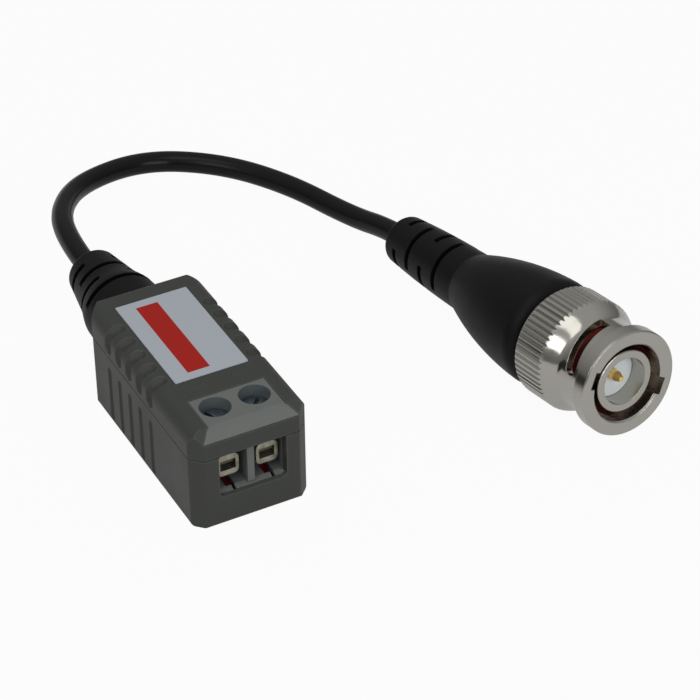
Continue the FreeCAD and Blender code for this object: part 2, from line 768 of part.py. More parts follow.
def plug_boot():
    body_r = BODY_R + BOOT_GAP
    ferrule_r = FERRULE_R + BOOT_GAP
    ferrule_start = BODY_END + BOOT_GAP
    ferrule_end = ferrule_start + FERRULE_L + BOOT_GAP
    edges = lines([
        (BOOT_FRONT_R, BOOT_FRONT),
        (body_r, BOOT_FRONT),
        (body_r, ferrule_start),
        (ferrule_r, ferrule_start),
        (ferrule_r, ferrule_end),
        (COAX_R, ferrule_end),
        (COAX_R, BOOT_END),
        (BOOT_TIP_R - TIP_ROUND, BOOT_END),
    ])
    edges.append(tip_round(BOOT_TIP_R, BOOT_END))
    edges.append(arc(
        (BOOT_TIP_R, BOOT_END - TIP_ROUND),
        (BOOT_TAIL_MID_R, BOOT_TAIL_MID),
        (BOOT_KNEE_R, BOOT_KNEE),
    ))
    edges.append(boot_cone().toShape())
    edges.append(bezier(
        (BOOT_R, BOOT_SHOULDER),
        (BOOT_R, BOOT_SHOULDER - BOOT_NOSE_PULL),
        (BOOT_FRONT_R, BOOT_FRONT),
    ))
    return cut_slots(turned(edges), BOOT_SLOT_FIRST, BOOT_SLOT_PITCH, BOOT_SLOT_ANGLE)


# Plug pieces, each built along the local Z axis from the nut's front face backwards

def lug_slot(angle):
    """One bayonet slot: the entry channel in the bore and the helical slot through the neck."""
    channel_r = NUT_BORE_R + LUG_CHANNEL_DEPTH
    channel = box(0, channel_r, -LUG_CHANNEL_W / 2, LUG_CHANNEL_W / 2, -PAST, LUG_SLOT_START)
    half = LUG_SLOT_W / 2
    inner = NUT_BORE_R - PAST / 2
    outer = NUT_R + PAST
    helix = Part.makeHelix(LUG_SLOT_RISE * 360 / LUG_SLOT_SWEEP, LUG_SLOT_RISE, NUT_NECK_R)
    outline = [
        FreeCAD.Vector(inner, 0, -half),
        FreeCAD.Vector(outer, 0, -half),
        FreeCAD.Vector(outer, 0, half),
        FreeCAD.Vector(inner, 0, half),
    ]
    ramp = Part.Wire(helix).makePipeShell([Part.makePolygon(outline + outline[:1])], True, True)
    mouth = rod(half, inner, 0, 0, outer - inner, OUTWARD)
    seat = mouth.copy()
    seat.rotate(FreeCAD.Vector(0, 0, 0), UP, LUG_SLOT_SWEEP)
    seat.translate(UP * LUG_SLOT_RISE)
    slot = ramp.multiFuse([mouth, seat])
    slot.translate(UP * LUG_SLOT_START)
    pair = [channel, slot]
    for shape in pair:
        shape.rotate(FreeCAD.Vector(0, 0, 0), UP, angle)
    return pair


def coupling_nut():
    snap_r = NUT_POCKET_R + SNAP_GRIP + RING_GAP
    edges = lines([
        (NUT_BORE_R + NUT_BORE_CHAMFER, 0),
        (NUT_RING_R - NUT_RING_CHAMFER, 0),
        (NUT_RING_R, NUT_RING_CHAMFER),
        (NUT_RING_R, NUT_RING_L - NUT_RING_CHAMFER),
        (NUT_RING_R - NUT_RING_CHAMFER, NUT_RING_L),
        (NUT_NECK_R, NUT_RING_L),
        (NUT_NECK_R, NUT_NECK_END),
    ])
    edges.append(bezier(
        (NUT_NECK_R, NUT_NECK_END),
        (NUT_NECK_R, NUT_NECK_END + NUT_FLARE_LEAD),
        (NUT_R - NUT_FLARE_DROP, NUT_FLARE_END - NUT_FLARE_RUN),
        (NUT_R, NUT_FLARE_END),
    ))
    edges += lines([
        (NUT_R, NUT_FLARE_END),
        (NUT_R, NUT_L - NUT_BACK_CHAMFER),
        (NUT_R - NUT_BACK_CHAMFER, NUT_L),
        (NUT_POCKET_R, NUT_L),
        (NUT_POCKET_R, SNAP_START + SNAP_T + RING_GAP),
        (snap_r, SNAP_START + SNAP_T + RING_GAP),
        (snap_r, SNAP_START - RING_GAP),
        (NUT_POCKET_R, SNAP_START - RING_GAP),
        (NUT_POCKET_R, NUT_POCKET_START),
        (NUT_BORE_R, NUT_POCKET_START),
        (NUT_BORE_R, NUT_BORE_CHAMFER),
        (NUT_BORE_R + NUT_BORE_CHAMFER, 0),
    ])
    nut = turned(edges)
    side = KNURL_W * math.sqrt(0.5)
    knurl_start = NUT_FLARE_END - NUT_FLARE_RUN / 2
    cuts = lug_slot(LUG_ANGLE) + lug_slot(LUG_ANGLE + 180)
    for index in range(KNURL_COUNT):
        ridge = box(-side / 2, side / 2, -side / 2, side / 2, knurl_start, NUT_L + PAST)
        ridge.rotate(FreeCAD.Vector(0, 0, 0), UP, 45)
        ridge.translate(OUTWARD * NUT_R)
        ridge.rotate(FreeCAD.Vector(0, 0, 0), UP, (index + 0.5) * 360 / KNURL_COUNT)
        cuts.append(ridge)
    return nut.cut(cuts)


def plug_body():
    """The outer contact with its sleeve, the flange that the nut pulls on, and the rear shank."""
    slant = (1 - math.sqrt(0.5)) * SLEEVE_ROUND
    back = BODY_END - BODY_WALL
    flange_r = NUT_POCKET_R - FLANGE_SIDE_GAP
    edges = lines([
        (SLEEVE_R, SLEEVE_FRONT + SLEEVE_ROUND),
        (SLEEVE_R, FLANGE_START),
        (flange_r, FLANGE_START),
        (flange_r, FLANGE_END),
        (BODY_R, FLANGE_END),
        (BODY_R, BODY_END),
        (CONDUCTOR_R + COAX_GAP, BODY_END),
        (CONDUCTOR_R + COAX_GAP, back),
        (SLEEVE_BORE_R, back),
        (SLEEVE_BORE_R, SLEEVE_FRONT),
        (SLEEVE_R - SLEEVE_ROUND, SLEEVE_FRONT),
    ])
    edges.append(arc(
        (SLEEVE_R - SLEEVE_ROUND, SLEEVE_FRONT),
        (SLEEVE_R - slant, SLEEVE_FRONT + slant),
        (SLEEVE_R, SLEEVE_FRONT + SLEEVE_ROUND),
    ))
    return turned(edges)


def plug_insulator():
    length = BODY_END - BODY_WALL - COAX_GAP - INSULATOR_FRONT
    return pipe(SLEEVE_BORE_R - COAX_GAP, PIN_R + COAX_GAP, INSULATOR_FRONT, length)


def centre_pin():
    end = BODY_END - BODY_WALL - PIN_BACK_INSET
    outline = [
        (0, PIN_TIP),
        (PIN_TIP_R, PIN_TIP),
        (PIN_R, PIN_TIP + PIN_TAPER),
        (PIN_R, end),
        (0, end),
        (0, PIN_TIP),
    ]
    return turned(lines(outline))


def plug_coax():
    """The coax end in the boot, with its conductor reaching the centre pin."""
    start = BODY_END + RING_GAP
    pin_end = BODY_END - BODY_WALL - PIN_BACK_INSET
    jacket = rod(CORD_R, 0, 0, start, BOOT_END - start)
    return jacket.fuse(rod(CONDUCTOR_R, 0, 0, pin_end, start - pin_end))


def gasket():
    return pipe(GASKET_R, SLEEVE_R + COAX_GAP, FLANGE_START - GASKET_T, GASKET_T)


def wave_washer():
    """The sprung ring that draws the nut backwards, in even waves round its circle."""
    swing = (WAVE_H - WAVE_T) / 2
    middle = FLANGE_END + swing
    count = POINTS_PER_WAVE * WAVE_COUNT
    rims = []
    for radius in (BODY_R + RING_GAP, NUT_POCKET_R - WAVE_SIDE_GAP):
        points = []
        for index in range(count):
            angle = 2 * math.pi * index / count
            height = middle + swing * math.cos(WAVE_COUNT * angle)
            points.append(FreeCAD.Vector(radius * math.cos(angle), radius * math.sin(angle), height))
        rim = Part.BSplineCurve()
        rim.interpolate(points, PeriodicFlag=True)
        rims.append(rim.toShape())
    return Part.makeRuledSurface(*rims).extrude(UP * WAVE_T)


def thrust_washer():
    return pipe(NUT_POCKET_R - WASHER_SIDE_GAP, BODY_R + RING_GAP, WASHER_START, WASHER_T)


def snap_ring():
    outer = NUT_POCKET_R + SNAP_GRIP
    ring = pipe(outer, outer - SNAP_W, SNAP_START, SNAP_T)
    mouth = Part.makeCylinder(2 * NUT_R, NUT_L, FreeCAD.Vector(0, 0, 0), UP, SNAP_MOUTH)
    return ring.cut(mouth)


def crimp_ferrule():
    return pipe(FERRULE_R, COAX_R, BODY_END + RING_GAP, FERRULE_L)


# The plug's place on the table

def plug_placement():
    """Turns the local Z axis to run from the nut's front face to the cord, resting on the boot."""
    yaw = math.radians(PLUG_YAW)
    rise = math.radians(PLUG_RISE)
    across = FreeCAD.Vector(-math.cos(yaw), -math.sin(yaw), 0)
    back = FreeCAD.Vector(-math.sin(yaw) * math.cos(rise), math.cos(yaw) * math.cos(rise), -math.sin(rise))
    cone = boot_cone().toShape().Curve
    height = cone.Center.x * math.cos(rise) + cone.Center.z * math.sin(rise) + cone.Radius + TABLE_GAP
    turn = FreeCAD.Rotation(across, back.cross(across), back, "ZXY")
    return FreeCAD.Placement(FreeCAD.Vector(PLUG_X, PLUG_Y, height), turn)


def in_place(shape):
    shape.Placement = PLUG_PLACE.multiply(shape.Placement)
    return shape


# Cord

def cord_route():
    relief_tip = FreeCAD.Vector(0, RELIEF_TIP_Y, RELIEF_AXIS_Z)
    boot_tip = PLUG_PLACE.multVec(FreeCAD.Vector(0, 0, BOOT_END))
    lead = PLUG_PLACE.multVec(FreeCAD.Vector(0, 0, BOOT_END + CORD_PLUG_LEAD))
    middle = [FreeCAD.Vector(*point) for point in CORD_POINTS]
    return [relief_tip, relief_tip + BACKWARD * CORD_LEAD] + middle + [lead, boot_tip]


def cord():
    """The free coax cord: straight runs joined by arcs as large as the runs allow."""
    route = cord_route()
    edges = []
    last = route[0]
    for before, corner, after in zip(route, route[1:], route[2:]):
        run_in = corner - before
        run_out = after - corner
        half = run_in.getAngle(run_out) / 2
        reach = BEND_SHARE * min(run_in.Length, run_out.Length)
        radius = reach / math.tan(half)
        start = corner - run_in.normalize() * reach
        end = corner + run_out.normalize() * reach
        chord_middle = (start + end) * 0.5
        inward = (chord_middle - corner).normalize()
        crown = corner + inward * (radius / math.cos(half) - radius)
        edges.append(Part.LineSegment(last, start).toShape())
        edges.append(Part.Arc(start, crown, end).toShape())
        last = end
    edges.append(Part.LineSegment(last, route[-1]).toShape())
    path = Part.Wire(edges)
    section = Part.Wire(Part.makeCircle(CORD_R, route[0], route[1] - route[0]))
    return path.makePipeShell([section], True, False)


PLUG_PLACE = plug_placement()
os.makedirs("parts", exist_ok=True)

save("lower_shell", lower_shell())
save("upper_shell", upper_shell())
save("top_label", label())
save("terminal_block", terminal_block())
for name, x in POLES.items():
    save("terminal_screw_" + name, terminal_screw(x, HEAD_TURNS[name]))
    save("clamp_cage_" + name, clamp_cage(x))
    save("contact_bar_" + name, contact_bar(x))
save("circuit_board", circuit_board())
save("transformer_core", ring_core(0))
save("winding_line", winding(-1))
save("winding_coax", winding(1))
save("signal_wire", bent_wire(WIRE_R, RELIEF_AXIS_Z, 0))
save("shield_wire", bent_wire(SHIELD_R, RELIEF_AXIS_Z, SHIELD_OFFSET))
save("coax_tail", coax_tail())
save("housing_relief", housing_relief())
save("cord", cord())
save("plug_boot", in_place(plug_boot()))
save("plug_coax", in_place(plug_coax()))
save("crimp_ferrule", in_place(crimp_ferrule()))
save("plug_body", in_place(plug_body()))
save("plug_insulator", in_place(plug_insulator()))
save("centre_pin", in_place(centre_pin()))
save("gasket", in_place(gasket()))
save("wave_washer", in_place(wave_washer()))
save("thrust_washer", in_place(thrust_washer()))
save("snap_ring", in_place(snap_ring()))
save("coupling_nut", in_place(coupling_nut()))
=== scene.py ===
import math
import bpy
from mathutils import Matrix, Vector


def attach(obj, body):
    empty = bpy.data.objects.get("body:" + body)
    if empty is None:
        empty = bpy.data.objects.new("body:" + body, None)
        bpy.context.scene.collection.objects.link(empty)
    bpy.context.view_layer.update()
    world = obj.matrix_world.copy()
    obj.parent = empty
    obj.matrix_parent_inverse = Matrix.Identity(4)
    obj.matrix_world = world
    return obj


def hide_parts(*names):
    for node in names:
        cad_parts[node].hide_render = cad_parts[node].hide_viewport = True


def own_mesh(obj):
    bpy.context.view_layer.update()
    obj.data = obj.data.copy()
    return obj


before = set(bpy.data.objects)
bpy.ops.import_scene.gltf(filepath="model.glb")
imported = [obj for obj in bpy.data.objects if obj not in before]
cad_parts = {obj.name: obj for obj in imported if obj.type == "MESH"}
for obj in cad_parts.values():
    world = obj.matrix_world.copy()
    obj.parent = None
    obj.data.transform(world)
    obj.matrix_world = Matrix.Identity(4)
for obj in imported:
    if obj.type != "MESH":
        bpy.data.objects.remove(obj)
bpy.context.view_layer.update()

# The studio dressing of a small video balun: grey screw-terminal housing, black pigtail, bayonet plug.
# Lengths are in metres in the part's frame: terminals at -Y, strain relief at +Y, table at z = 0.

MM = 0.001

# Camera: where it looks, from which side and how far, its lens on a 36 mm wide sensor, and its near limit
CAMERA_TARGET = (31.115 * MM, 12.002 * MM, -10.075 * MM)
CAMERA_AZIMUTH = -27.591
CAMERA_ELEVATION = 36.229
CAMERA_ROLL = -0.637
CAMERA_DISTANCE = 357.533 * MM
CAMERA_LENS = 139.05
SENSOR_WIDTH = 36.0
CAMERA_NEAR = 10 * MM

# Cord: its diameter, the control points of its route in mm, and how finely it is drawn
CORD_DIAMETER = 2.9 * MM
CORD_ROUTE = [
    (0.0, 23.275, 6.15),
    (0.0, 30.275, 6.15),
    (2.2, 39.3, 5.2),
    (8.4, 47.1, 3.4),
    (19.2, 50.5, 1.9),
    (28.4, 45.2, 1.5),
    (34.4, 36.0, 1.5),
    (38.2, 24.6, 1.5),
    (39.82, 17.21, 3.34),
    (40.17, 13.75, 3.72),
]
CORD_STEPS = 16
CORD_ROUNDNESS = 8

# Colours, linear
SHELL_GREY = (0.050, 0.053, 0.048)
# the shell's pale edge colour: part wear, part painted highlight
SHELL_EDGE_WEAR_AND_HIGHLIGHT = (0.085, 0.090, 0.080)
BLOCK_GREY = (0.143, 0.152, 0.144)
# painted shade inside the terminal block's wire entries and screw wells
RECESS_PAINTED_SHADE = (0.105, 0.125, 0.130)
LABEL_WHITE = (0.415, 0.45, 0.495)
BAR_RED = (0.385, 0.007, 0.002)
RELIEF_BLACK = (0.0055, 0.0055, 0.006)
CORD_BLACK = (0.0062, 0.0062, 0.007)
NICKEL = (0.455, 0.44, 0.40)
# painted shade inside the nut's bore and bayonet slots
BORE_PAINTED_SHADE = (0.36, 0.30, 0.25)
# painted shade between the knurl's ridges
KNURL_PAINTED_SHADE = (0.41, 0.395, 0.355)
STEEL_BLUE = (0.34, 0.41, 0.46)
CAGE_METAL = (0.42, 0.405, 0.33)
CAGE_STAIN = (0.13, 0.115, 0.07)
# the contact bars' brass, darkened as painted shade for the dark band at the top of the wire windows
BRASS_DARKENED_AS_SHADE = (0.11, 0.095, 0.06)
GOLD = (0.90, 0.62, 0.22)
PTFE_WHITE = (0.84, 0.89, 0.92)
GASKET_RED = (0.21, 0.020, 0.015)
BOARD_RED = (0.13, 0.008, 0.010)
FERRITE_GREY = (0.030, 0.030, 0.034)
COPPER = (0.60, 0.22, 0.10)
TINNED = (0.55, 0.54, 0.50)
FLOOR_GREY = (0.58, 0.58, 0.58)

# Gloss of the plastics, of the black rubber and of the cord, and how metallic the duller metals are
PLASTIC_GLOSS = 0.22
RUBBER_GLOSS = 0.13
CORD_GLOSS = 0.15
DULL_METALLIC = 0.8

# Noises: the part of their range that is used, and their scales per metre from slow clouds to fine grain
NOISE_RANGE = (0.3, 0.7)
PLASTIC_CLOUD = 180.0
METAL_CLOUD = 260.0
EDGE_BAND_PATCHES = 700.0
FILM_GRAIN = 900.0
STAIN_PATCHES = 1100.0
METAL_MARKS = 2400.0

# Drift of a finish over a surface: of its colour, as a share of it, and of its roughness to either side
PLASTIC_SWING = 0.06
METAL_SWING = 0.04
PLASTIC_DRIFT = (-0.04, 0.04)
METAL_DRIFT = (-0.05, 0.06)

# Grain: how far it stands up on plastic, and on metal and film
PLASTIC_RELIEF = 0.05 * MM
FINE_RELIEF = 0.02 * MM

# Edges: how far from one its rounding and its pale band show, how finely both are sampled, the cosines
# between face and rounding where the band begins and is full, and the least and most of the band that is
# painted; the pale band is part wear, part painted highlight where the edges catch the light
EDGE_SOFTNESS = 0.12 * MM
EDGE_BAND_WIDTH = 0.35 * MM
EDGE_SAMPLES = 6
EDGE_BAND_AGREEMENT = (1.0, 0.9)
EDGE_BAND_SHARE = (0.5, 1.0)

# Cages: the least and most that the stain covers
STAIN_SHARE = (0.0, 0.75)

# Terminal block: the height its platform starts at, and where the painted shade in its recesses begins and is
# full
PLATFORM_FOOT = 13.45 * MM
RECESS_SHADE_DEPTH = (-22.5 * MM, -20.6 * MM)

# Label: the bar printed on it, the softness of the bar's edges, and the film's finish
BAR_ACROSS = (-2.55 * MM, 0.3 * MM)
BAR_ALONG = (-11.7 * MM, 3.0 * MM)
BAR_SOFT = 0.06 * MM
FILM_ROUGHNESS = (0.36, 0.46)
FILM_BUMP = 0.08

# Coupling nut: the middle of its front face and its axis towards the cord, its inside that takes painted
# shade, polished neck and knurl, whose grooves take painted shade, as places along that axis and radii round
# it, and the neck's share of the roughness
PLUG_FRONT = (44.835 * MM, -32.682 * MM, 8.884 * MM)
PLUG_AXIS = (-0.099408, 0.988958, -0.109908)
INSIDE_START = 0.25 * MM
INSIDE_RADIUS = 5.85 * MM
NECK_START = 2.05 * MM
NECK_END = 8.2 * MM
NECK_POLISH = 0.62
KNURL_START = 8.3 * MM
KNURL_FLOOR = 6.5 * MM
KNURL_TOP = 7.16 * MM

# Studio: the floor's half width and roughness, the shares of white that the camera and mirrors see in it,
# and the world's light at the horizon and overhead, with the heights that it grows between
FLOOR_REACH = 3.0
FLOOR_ROUGHNESS = 0.9
CAMERA_WHITE = 0.95
MIRROR_WHITE = 0.4
HORIZON_LIGHT = 0.16
ZENITH_LIGHT = 0.54
SKY_HEIGHTS = (0.0, 0.8)

# Lamps: the point that they face, and each one's name, width and height, power and place
LAMP_TARGET = (0.022, 0.008, 0.005)
LAMPS = [
    ("key_softbox", (0.40, 0.30), 0.5, (-0.10, -0.05, 0.60)),
    ("left_softbox", (0.25, 0.25), 0.5, (-0.42, -0.20, 0.36)),
    ("front_softbox", (0.40, 0.30), 1.0, (0.05, -0.55, 0.24)),
]


# Node helpers

def object_place(tree):
    """The mesh's own coordinates, which are the part's frame."""
    return tree.nodes.new("ShaderNodeTexCoord").outputs["Object"]


def separated(tree, vector):
    split = tree.nodes.new("ShaderNodeSeparateXYZ")
    tree.links.new(vector, split.inputs["Vector"])
    return split.outputs


def mapped(tree, source, before, after=(0.0, 1.0)):
    """Source carried from one range to another, and held at its ends."""
    node = tree.nodes.new("ShaderNodeMapRange")
    for name, value in zip(("From Min", "From Max", "To Min", "To Max"), (*before, *after)):
        node.inputs[name].default_value = value
    tree.links.new(source, node.inputs["Value"])
    return node.outputs["Result"]


def computed(tree, operation, first, second):
    """A math node's result for an output and a number, or for two outputs."""
    node = tree.nodes.new("ShaderNodeMath")
    node.operation = operation
    tree.links.new(first, node.inputs[0])
    if isinstance(second, float):
        node.inputs[1].default_value = second
    else:
        tree.links.new(second, node.inputs[1])
    return node.outputs["Value"]


def computed_vector(tree, operation, first, second):
    """The same for vectors: a dot product, or an operation that gives a vector."""
    node = tree.nodes.new("ShaderNodeVectorMath")
    node.operation = operation
    tree.links.new(first, node.inputs[0])
    if isinstance(second, tuple):
        node.inputs[1].default_value = second
    else:
        tree.links.new(second, node.inputs[1])
    return node.outputs["Value" if operation == "DOT_PRODUCT" else "Vector"]


def vector_length(tree, vector):
    node = tree.nodes.new("ShaderNodeVectorMath")
    node.operation = "LENGTH"
    tree.links.new(vector, node.inputs[0])
    return node.outputs["Value"]


def between(tree, source, low, high):
    """1 where source is between low and high, and 0 elsewhere."""
    above = computed(tree, "GREATER_THAN", source, low)
    below = computed(tree, "LESS_THAN", source, high)
    return computed(tree, "MULTIPLY", above, below)


def softly_between(tree, source, limits):
    """The same for the label's bar, with soft edges."""
    low, high = limits
    half = BAR_SOFT / 2
    above = mapped(tree, source, (low - half, low + half))
    below = mapped(tree, source, (high - half, high + half), (1.0, 0.0))
    return computed(tree, "MULTIPLY", above, below)


def mixed_colour(tree, factor, below, above):
    """One colour over another by a factor, where the one below is a colour or an output."""
    mix = tree.nodes.new("ShaderNodeMix")
    mix.data_type = "RGBA"
    tree.links.new(factor, mix.inputs["Factor"])
    if isinstance(below, tuple):
        mix.inputs["A"].default_value = (*below, 1)
    else:
        tree.links.new(below, mix.inputs["A"])
    mix.inputs["B"].default_value = (*above, 1)
    return mix.outputs["Result"]


def object_noise(tree, scale, detail):
    """A noise over the part's frame, so that it stays on the solid."""
    noise = tree.nodes.new("ShaderNodeTexNoise")
    noise.inputs["Scale"].default_value = scale
    noise.inputs["Detail"].default_value = detail
    tree.links.new(object_place(tree), noise.inputs["Vector"])
    return noise.outputs["Fac"]


def rounded_normal(tree, radius):
    """The direction of the surface as if its edges were rounded."""
    edge = tree.nodes.new("ShaderNodeBevel")
    edge.samples = EDGE_SAMPLES
    edge.inputs["Radius"].default_value = radius
    return edge.outputs["Normal"]


# Material helpers

def new_material(name):
    material = bpy.data.materials.new(name)
    material.use_nodes = True
    tree = material.node_tree
    return material, tree, tree.nodes["Principled BSDF"]


def add_bump(tree, shader, height, strength, distance):
    """Grain from a height, over edges that look slightly rounded, as moulded and plated edges are."""
    bump = tree.nodes.new("ShaderNodeBump")
    bump.inputs["Strength"].default_value = strength
    bump.inputs["Distance"].default_value = distance
    tree.links.new(rounded_normal(tree, EDGE_SOFTNESS), bump.inputs["Normal"])
    tree.links.new(height, bump.inputs["Height"])
    tree.links.new(bump.outputs["Normal"], shader.inputs["Normal"])


def add_finish(tree, shader, cloud, colour, swing, roughness, drift):
    """Lets the colour and the roughness drift a little either side of the ones given."""
    dark = tuple(c * (1 - swing) for c in colour)
    pale = tuple(min(c * (1 + swing), 1) for c in colour)
    tree.links.new(mixed_colour(tree, cloud, dark, pale), shader.inputs["Base Color"])
    limits = tuple(roughness + step for step in drift)
    tree.links.new(mapped(tree, cloud, NOISE_RANGE, limits), shader.inputs["Roughness"])


def moulded_plastic(name, colour, roughness, grain_scale, grain, swing=PLASTIC_SWING, specular=PLASTIC_GLOSS):
    """Moulded plastic: a fine spark-eroded grain, with gloss and colour that drift slowly."""
    material, tree, shader = new_material(name)
    shader.inputs["Specular IOR Level"].default_value = specular
    cloud = object_noise(tree, PLASTIC_CLOUD, detail=3.0)
    add_finish(tree, shader, cloud, colour, swing, roughness, PLASTIC_DRIFT)
    fine = object_noise(tree, grain_scale, detail=2.0)
    add_bump(tree, shader, fine, grain, PLASTIC_RELIEF)
    return material


def plated_metal(name, colour, roughness, brushed=0.25, metallic=1.0):
    """Plated metal: bright, with a slightly uneven polish and fine turning marks."""
    material, tree, shader = new_material(name)
    shader.inputs["Metallic"].default_value = metallic
    cloud = object_noise(tree, METAL_CLOUD, detail=5.0)
    add_finish(tree, shader, cloud, colour, METAL_SWING, roughness, METAL_DRIFT)
    fine = object_noise(tree, METAL_MARKS, detail=3.0)
    add_bump(tree, shader, fine, brushed, FINE_RELIEF)
    return material


def paint_over(material, mask, colour):
    """Puts a colour over the material's own where the mask is 1."""
    tree = material.node_tree
    base = tree.nodes["Principled BSDF"].inputs["Base Color"]
    tree.links.new(mixed_colour(tree, mask, base.links[0].from_socket, colour), base)


# Materials

def shell_with_worn_highlit_edges():
    """Grey plastic whose edges are painted paler, unevenly: part wear where handling has polished them, part
    painted highlight where the edges catch the light.
    """
    material = moulded_plastic("shell_plastic", SHELL_GREY, roughness=0.46, grain_scale=4200.0, grain=0.35)
    tree = material.node_tree
    face = tree.nodes.new("ShaderNodeNewGeometry").outputs["Normal"]
    agreement = computed_vector(tree, "DOT_PRODUCT", rounded_normal(tree, EDGE_BAND_WIDTH), face)
    edge = mapped(tree, agreement, EDGE_BAND_AGREEMENT)
    patchy = mapped(tree, object_noise(tree, EDGE_BAND_PATCHES, detail=3.0), NOISE_RANGE, EDGE_BAND_SHARE)
    # painted highlight and wear: a paler colour along the edges, in patches
    paint_over(material, computed(tree, "MULTIPLY", edge, patchy), SHELL_EDGE_WEAR_AND_HIGHLIGHT)
    return material


def stained_cage():
    """Dull nickel with stains in patches, as air and handling leave."""
    material = plated_metal("cage_nickel", CAGE_METAL, roughness=0.32, brushed=0.5, metallic=DULL_METALLIC)
    tree = material.node_tree
    patchy = mapped(tree, object_noise(tree, STAIN_PATCHES, detail=4.0), NOISE_RANGE, STAIN_SHARE)
    paint_over(material, patchy, CAGE_STAIN)
    return material


def block_with_painted_recess_shade():
    """Grey plastic with shade painted into the wire entries and the screw wells, darker further in from the
    front and below the platform.
    """
    material = moulded_plastic("block_plastic", BLOCK_GREY, roughness=0.42, grain_scale=4200.0, grain=0.25)
    tree = material.node_tree
    place = separated(tree, object_place(tree))
    deep = mapped(tree, place["Y"], RECESS_SHADE_DEPTH)
    under = computed(tree, "LESS_THAN", place["Z"], PLATFORM_FOOT)
    # painted shade: a darker colour behind the front and below the platform
    paint_over(material, computed(tree, "MULTIPLY", deep, under), RECESS_PAINTED_SHADE)
    return material


def nut_nickel():
    """Nickel: bright outside, with shade painted brown into the bore and the slots, and painted darker
    between the knurl's ridges.
    """
    material = plated_metal("nut_nickel", NICKEL, roughness=0.24)
    tree = material.node_tree
    offset = computed_vector(tree, "SUBTRACT", object_place(tree), PLUG_FRONT)
    along = computed_vector(tree, "DOT_PRODUCT", offset, PLUG_AXIS)
    radius = vector_length(tree, computed_vector(tree, "CROSS_PRODUCT", offset, PLUG_AXIS))
    behind_face = computed(tree, "GREATER_THAN", along, INSIDE_START)
    near_axis = computed(tree, "LESS_THAN", radius, INSIDE_RADIUS)
    # painted shade: a brown-grey colour behind the front face and inside the nut's outer radius
    paint_over(material, computed(tree, "MULTIPLY", behind_face, near_axis), BORE_PAINTED_SHADE)
    on_knurl = computed(tree, "GREATER_THAN", along, KNURL_START)
    in_grooves = between(tree, radius, KNURL_FLOOR, KNURL_TOP)
    # painted shade: a darker colour between the knurl's ridges
    paint_over(material, computed(tree, "MULTIPLY", on_knurl, in_grooves), KNURL_PAINTED_SHADE)
    roughness = tree.nodes["Principled BSDF"].inputs["Roughness"]
    dull = roughness.links[0].from_socket
    polish = mapped(tree, between(tree, along, NECK_START, NECK_END), (0.0, 1.0), (1.0, NECK_POLISH))
    tree.links.new(computed(tree, "MULTIPLY", dull, polish), roughness)
    return material


def printed_label():
    """White film with a printed bar along its left."""
    material, tree, shader = new_material("printed_label")
    place = separated(tree, object_place(tree))
    across = softly_between(tree, place["X"], BAR_ACROSS)
    along = softly_between(tree, place["Y"], BAR_ALONG)
    bar = computed(tree, "MULTIPLY", across, along)
    tree.links.new(mixed_colour(tree, bar, LABEL_WHITE, BAR_RED), shader.inputs["Base Color"])
    shader.inputs["Specular IOR Level"].default_value = PLASTIC_GLOSS
    fine = object_noise(tree, FILM_GRAIN, detail=3.0)
    tree.links.new(mapped(tree, fine, NOISE_RANGE, FILM_ROUGHNESS), shader.inputs["Roughness"])
    add_bump(tree, shader, fine, FILM_BUMP, FINE_RELIEF)
    return material


# Which material each CAD node wears

def dress_nodes():
    """Gives every CAD node its material, and returns them by the node's name."""
    shell = shell_with_worn_highlit_edges()
    relief = moulded_plastic("relief_rubber", RELIEF_BLACK, roughness=0.46, grain_scale=3000.0, grain=0.22,
                             specular=RUBBER_GLOSS)
    jacket = moulded_plastic("cord_jacket", CORD_BLACK, roughness=0.26, grain_scale=3600.0, grain=0.12,
                             specular=CORD_GLOSS)
    board = moulded_plastic("board_lacquer", BOARD_RED, roughness=0.30, grain_scale=1500.0, grain=0.10)
    ferrite = moulded_plastic("ferrite", FERRITE_GREY, roughness=0.55, grain_scale=2500.0, grain=0.30)
    insulator = moulded_plastic("white_insulator", PTFE_WHITE, roughness=0.35, grain_scale=1800.0, grain=0.05,
                                swing=0.02)
    silicone = moulded_plastic("red_silicone", GASKET_RED, roughness=0.40, grain_scale=1800.0, grain=0.10)
    nickel = plated_metal("bright_nickel", NICKEL, roughness=0.24)
    steel = plated_metal("blue_zinc_steel", STEEL_BLUE, roughness=0.27)
    cage = stained_cage()
    # brass darkened as painted shade, so the top of each wire window reads dark
    brass = plated_metal("brass_with_painted_shade", BRASS_DARKENED_AS_SHADE, roughness=0.42, metallic=DULL_METALLIC)
    spring = plated_metal("spring_steel", TINNED, roughness=0.30)
    copper = plated_metal("enamelled_copper", COPPER, roughness=0.34)
    tinned = plated_metal("tinned_copper", TINNED, roughness=0.36)
    gold = plated_metal("gold_plating", GOLD, roughness=0.30, metallic=DULL_METALLIC)
    worn = {
        "lower_shell": shell,
        "upper_shell": shell,
        "top_label": printed_label(),
        "terminal_block": block_with_painted_recess_shade(),
        "terminal_screw_left": steel,
        "terminal_screw_right": steel,
        "clamp_cage_left": cage,
        "clamp_cage_right": cage,
        "contact_bar_left": brass,
        "contact_bar_right": brass,
        "circuit_board": board,
        "transformer_core": ferrite,
        "winding_line": copper,
        "winding_coax": copper,
        "signal_wire": copper,
        "shield_wire": tinned,
        "coax_tail": jacket,
        "housing_relief": relief,
        "cord": jacket,
        "plug_boot": relief,
        "plug_coax": jacket,
        "crimp_ferrule": nickel,
        "plug_body": nickel,
        "plug_insulator": insulator,
        "centre_pin": gold,
        "gasket": silicone,
        "wave_washer": spring,
        "thrust_washer": spring,
        "snap_ring": spring,
        "coupling_nut": nut_nickel(),
    }
    for name, material in worn.items():
        for slot in bpy.data.objects[name].material_slots:
            slot.material = material
    return worn


# Wave washer

